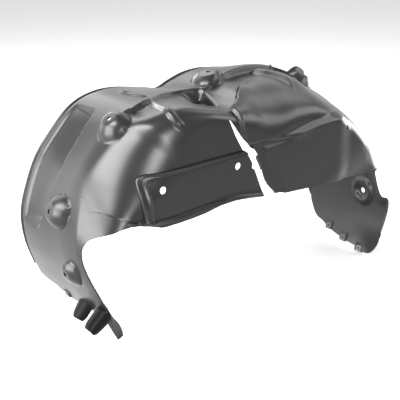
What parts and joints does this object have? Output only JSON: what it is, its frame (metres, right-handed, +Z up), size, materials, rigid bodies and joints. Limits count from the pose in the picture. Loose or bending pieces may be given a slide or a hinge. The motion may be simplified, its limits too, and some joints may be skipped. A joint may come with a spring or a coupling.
{
  "type": "wheel arch liner",
  "caption": "Moulded plastic wheel arch liner with a stepped top, raised screw bosses, a slit side wall and spring nuts on its feet.",
  "frame": {"origin": "middle of the footprint at the floor, under the arch", "axes": "+X from the left foot to the right foot, -Y towards the side wall that faces the car body, +Z up"},
  "size_m": [0.8455, 0.3049, 0.4849],
  "materials": {
    "black_plastic": "satin moulded polypropylene",
    "spring_steel": "zinc plated"
  },
  "bodies": {
    "root": {"liner": "black_plastic", "spring_nuts": "spring_steel"}
  },
  "joints": []
}
